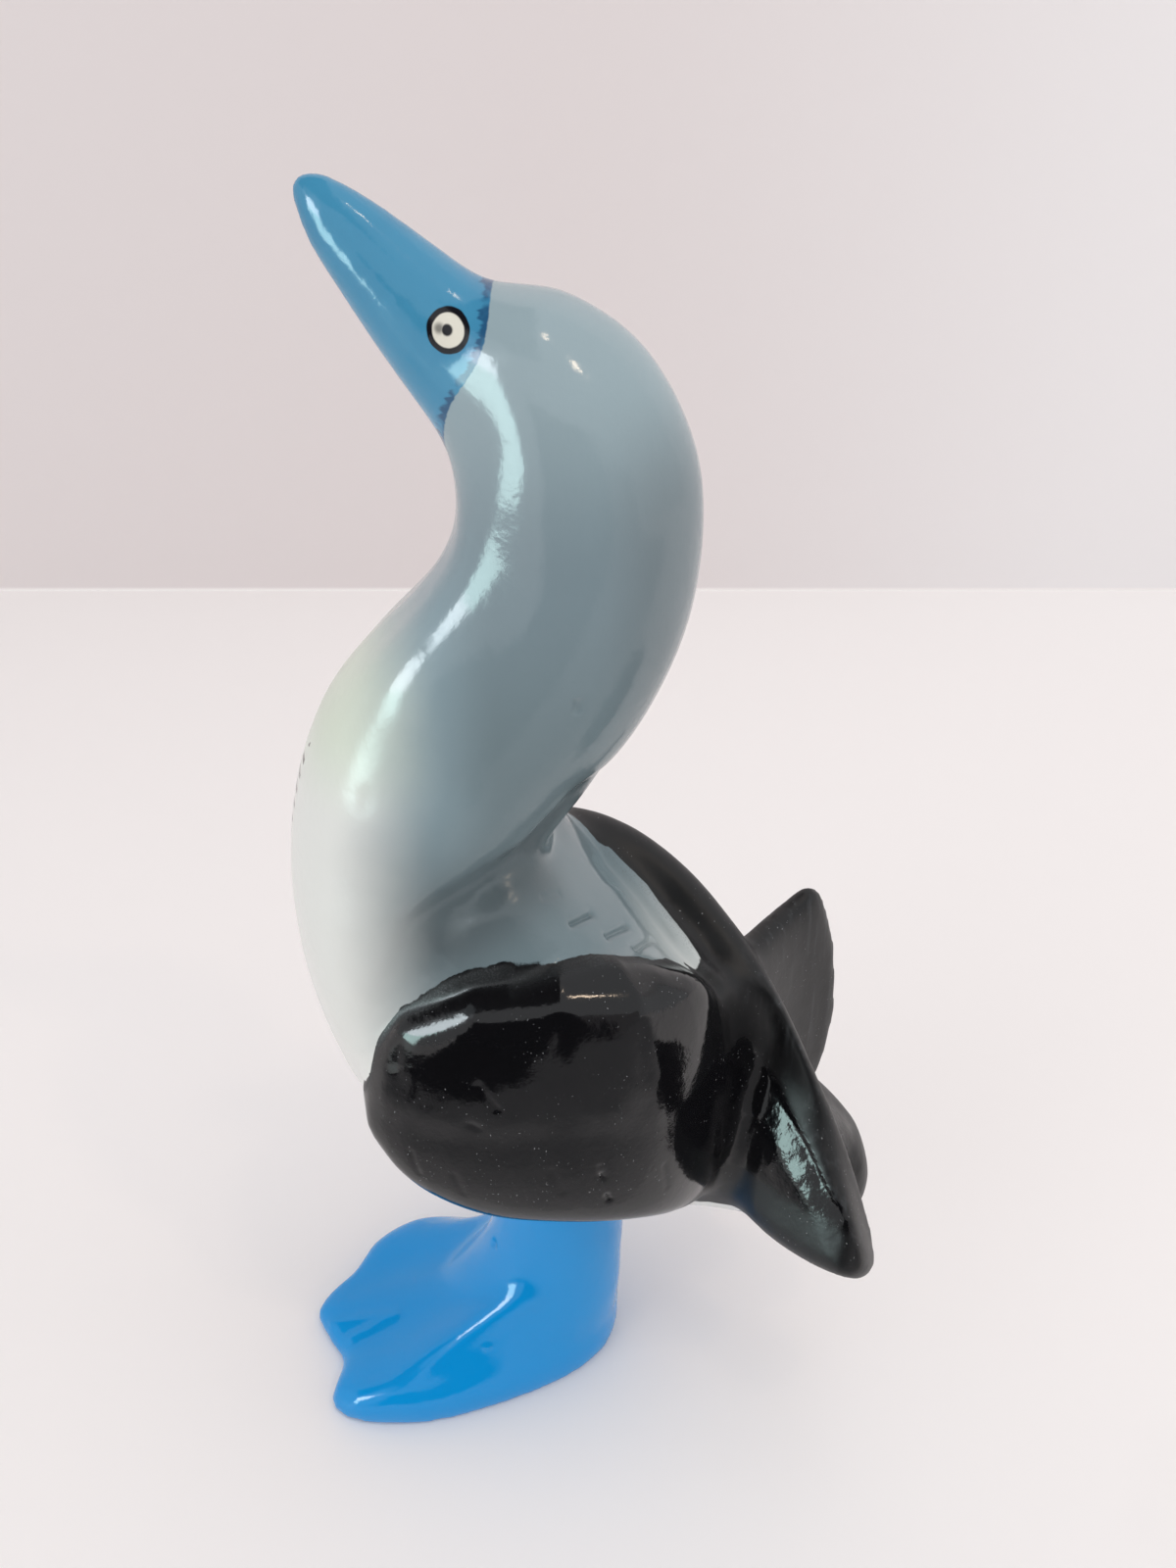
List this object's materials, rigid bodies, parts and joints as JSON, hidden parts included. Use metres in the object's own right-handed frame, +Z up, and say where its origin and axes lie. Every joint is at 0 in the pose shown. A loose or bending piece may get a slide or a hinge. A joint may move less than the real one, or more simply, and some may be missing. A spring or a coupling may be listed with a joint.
{
  "type": "ceramic bird figurine",
  "caption": "Small glazed ceramic figure of a blue-footed seabird, bill raised to the sky and wings crossed behind, standing on one broad webbed foot.",
  "frame": {"origin": "on the ground under the leg, on the flat sole of the foot", "axes": "+Z up to the tip of the bill, +X towards the bird's left side, -Y towards its front"},
  "size_m": [0.0456, 0.0818, 0.1599],
  "materials": {
    "painted_glaze": "hand painted and glazed: sky-blue bill and foot, grey-blue neck and back, cream breast, black wings and tail"
  },
  "bodies": {
    "root": {"bird_figurine": "painted_glaze"}
  },
  "joints": []
}
